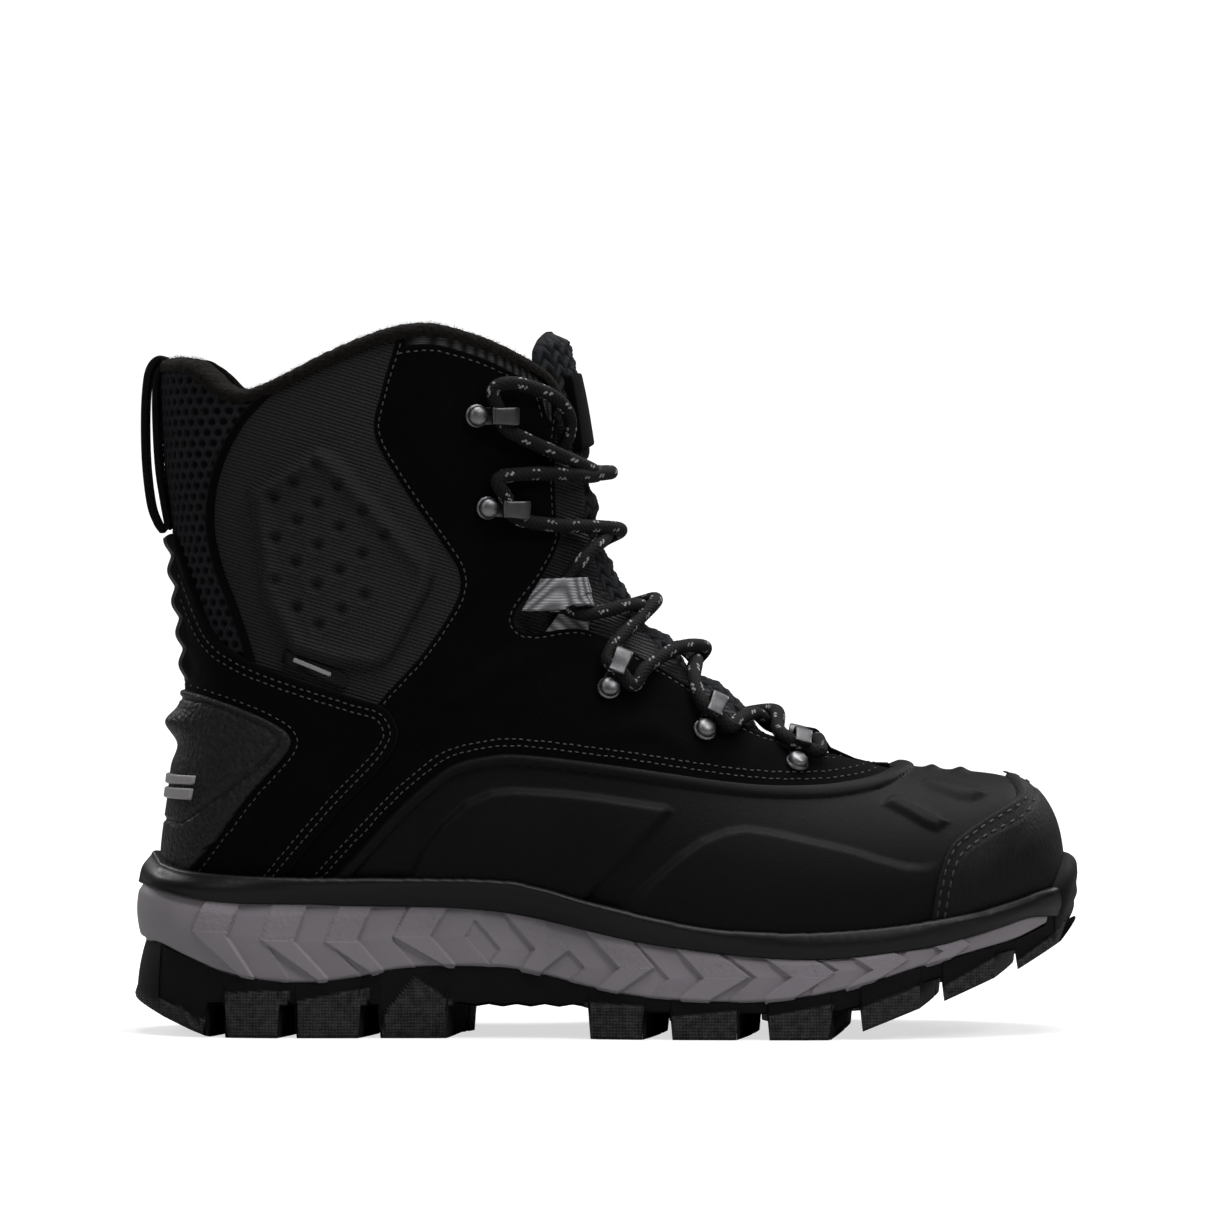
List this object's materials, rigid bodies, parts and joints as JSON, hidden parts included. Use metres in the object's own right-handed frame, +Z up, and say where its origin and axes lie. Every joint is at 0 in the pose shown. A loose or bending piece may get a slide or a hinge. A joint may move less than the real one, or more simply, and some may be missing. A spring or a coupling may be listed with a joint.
{
  "type": "hiking boot",
  "caption": "Mid-height lace-up hiking boot with a moulded mudguard, rubber toe cap, lace hooks and a lugged sole.",
  "frame": {"origin": "middle of the bounding box seen from above, on the ground under the lugs", "axes": "+X towards the toe, +Z up, -Y towards the outer (lateral) side of this right boot"},
  "size_m": [0.318, 0.1157, 0.2355],
  "materials": {
    "rubber": "matt moulded rubber",
    "midsole_foam": "matt foam, slightly textured",
    "suede": "short nap suede, dark grey",
    "textile": "coarse woven textile, grey",
    "mesh": "knitted spacer mesh, black",
    "fleece": "fleece edge, brown",
    "shell": "satin moulded shell",
    "counter": "satin moulded plastic",
    "webbing": "woven webbing, black",
    "grey_webbing": "woven webbing, grey",
    "lace": "round braid, black",
    "black_nickel": "black nickel plated steel",
    "steel": "plain spring steel",
    "board": "pressed fibre board",
    "lining": "brushed lining, dark grey",
    "padding": "open foam with a fabric face",
    "stiffener": "thermoplastic sheet",
    "aglet": "clear-coated black film"
  },
  "bodies": {
    "boot": {"outsole": "rubber", "midsole": "midsole_foam", "foxing_strip": "rubber", "shank": "steel", "insole_board": "board", "bootie_lining": "lining", "collar_foam": "padding", "toe_puff": "stiffener", "heel_stiffener": "stiffener", "vamp": "suede", "suede_quarter_lateral": "suede", "suede_quarter_medial": "suede", "textile_panel_lateral": "textile", "textile_panel_medial": "textile", "knit_collar": "mesh", "collar_binding": "fleece", "piping_lateral": "suede", "piping_medial": "suede", "mudguard": "shell", "toe_cap": "rubber", "heel_band": "suede", "achilles_guard": "rubber", "heel_counter": "counter", "heel_badge": "counter", "side_label": "webbing", "pull_loop": "webbing", "tongue_lower": "textile", "throat_keeper": "suede", "webbing_loop_lateral": "grey_webbing", "webbing_loop_medial": "grey_webbing", "lace": "lace", "aglet_lateral": "aglet", "aglet_medial": "aglet", "hook_lateral_1": "black_nickel", "rivet_lateral_1": "black_nickel", "hook_lateral_2": "black_nickel", "rivet_lateral_2": "black_nickel", "hook_lateral_3": "black_nickel", "rivet_lateral_3": "black_nickel", "hook_lateral_4": "black_nickel", "rivet_lateral_4": "black_nickel", "hook_lateral_5": "black_nickel", "rivet_lateral_5": "black_nickel", "hook_medial_1": "black_nickel", "rivet_medial_1": "black_nickel", "hook_medial_2": "black_nickel", "rivet_medial_2": "black_nickel", "hook_medial_3": "black_nickel", "rivet_medial_3": "black_nickel", "hook_medial_4": "black_nickel", "rivet_medial_4": "black_nickel", "hook_medial_5": "black_nickel", "rivet_medial_5": "black_nickel"},
    "tongue": {"tongue_upper": "textile", "tongue_cap": "suede"},
    "insole": {"footbed": "padding"}
  },
  "joints": [
    {"name": "tongue_tilt", "type": "hinge", "parent": "boot", "child": "tongue", "pos_m": [-0.0024, -0.0033, 0.1465], "axis": [0, -1, 0], "range_deg": [0, 12]},
    {"name": "footbed_lift", "type": "hinge", "parent": "boot", "child": "insole", "pos_m": [0.1375, 0, 0.0445], "axis": [0, 1, 0], "range_deg": [0, 8]}
  ]
}
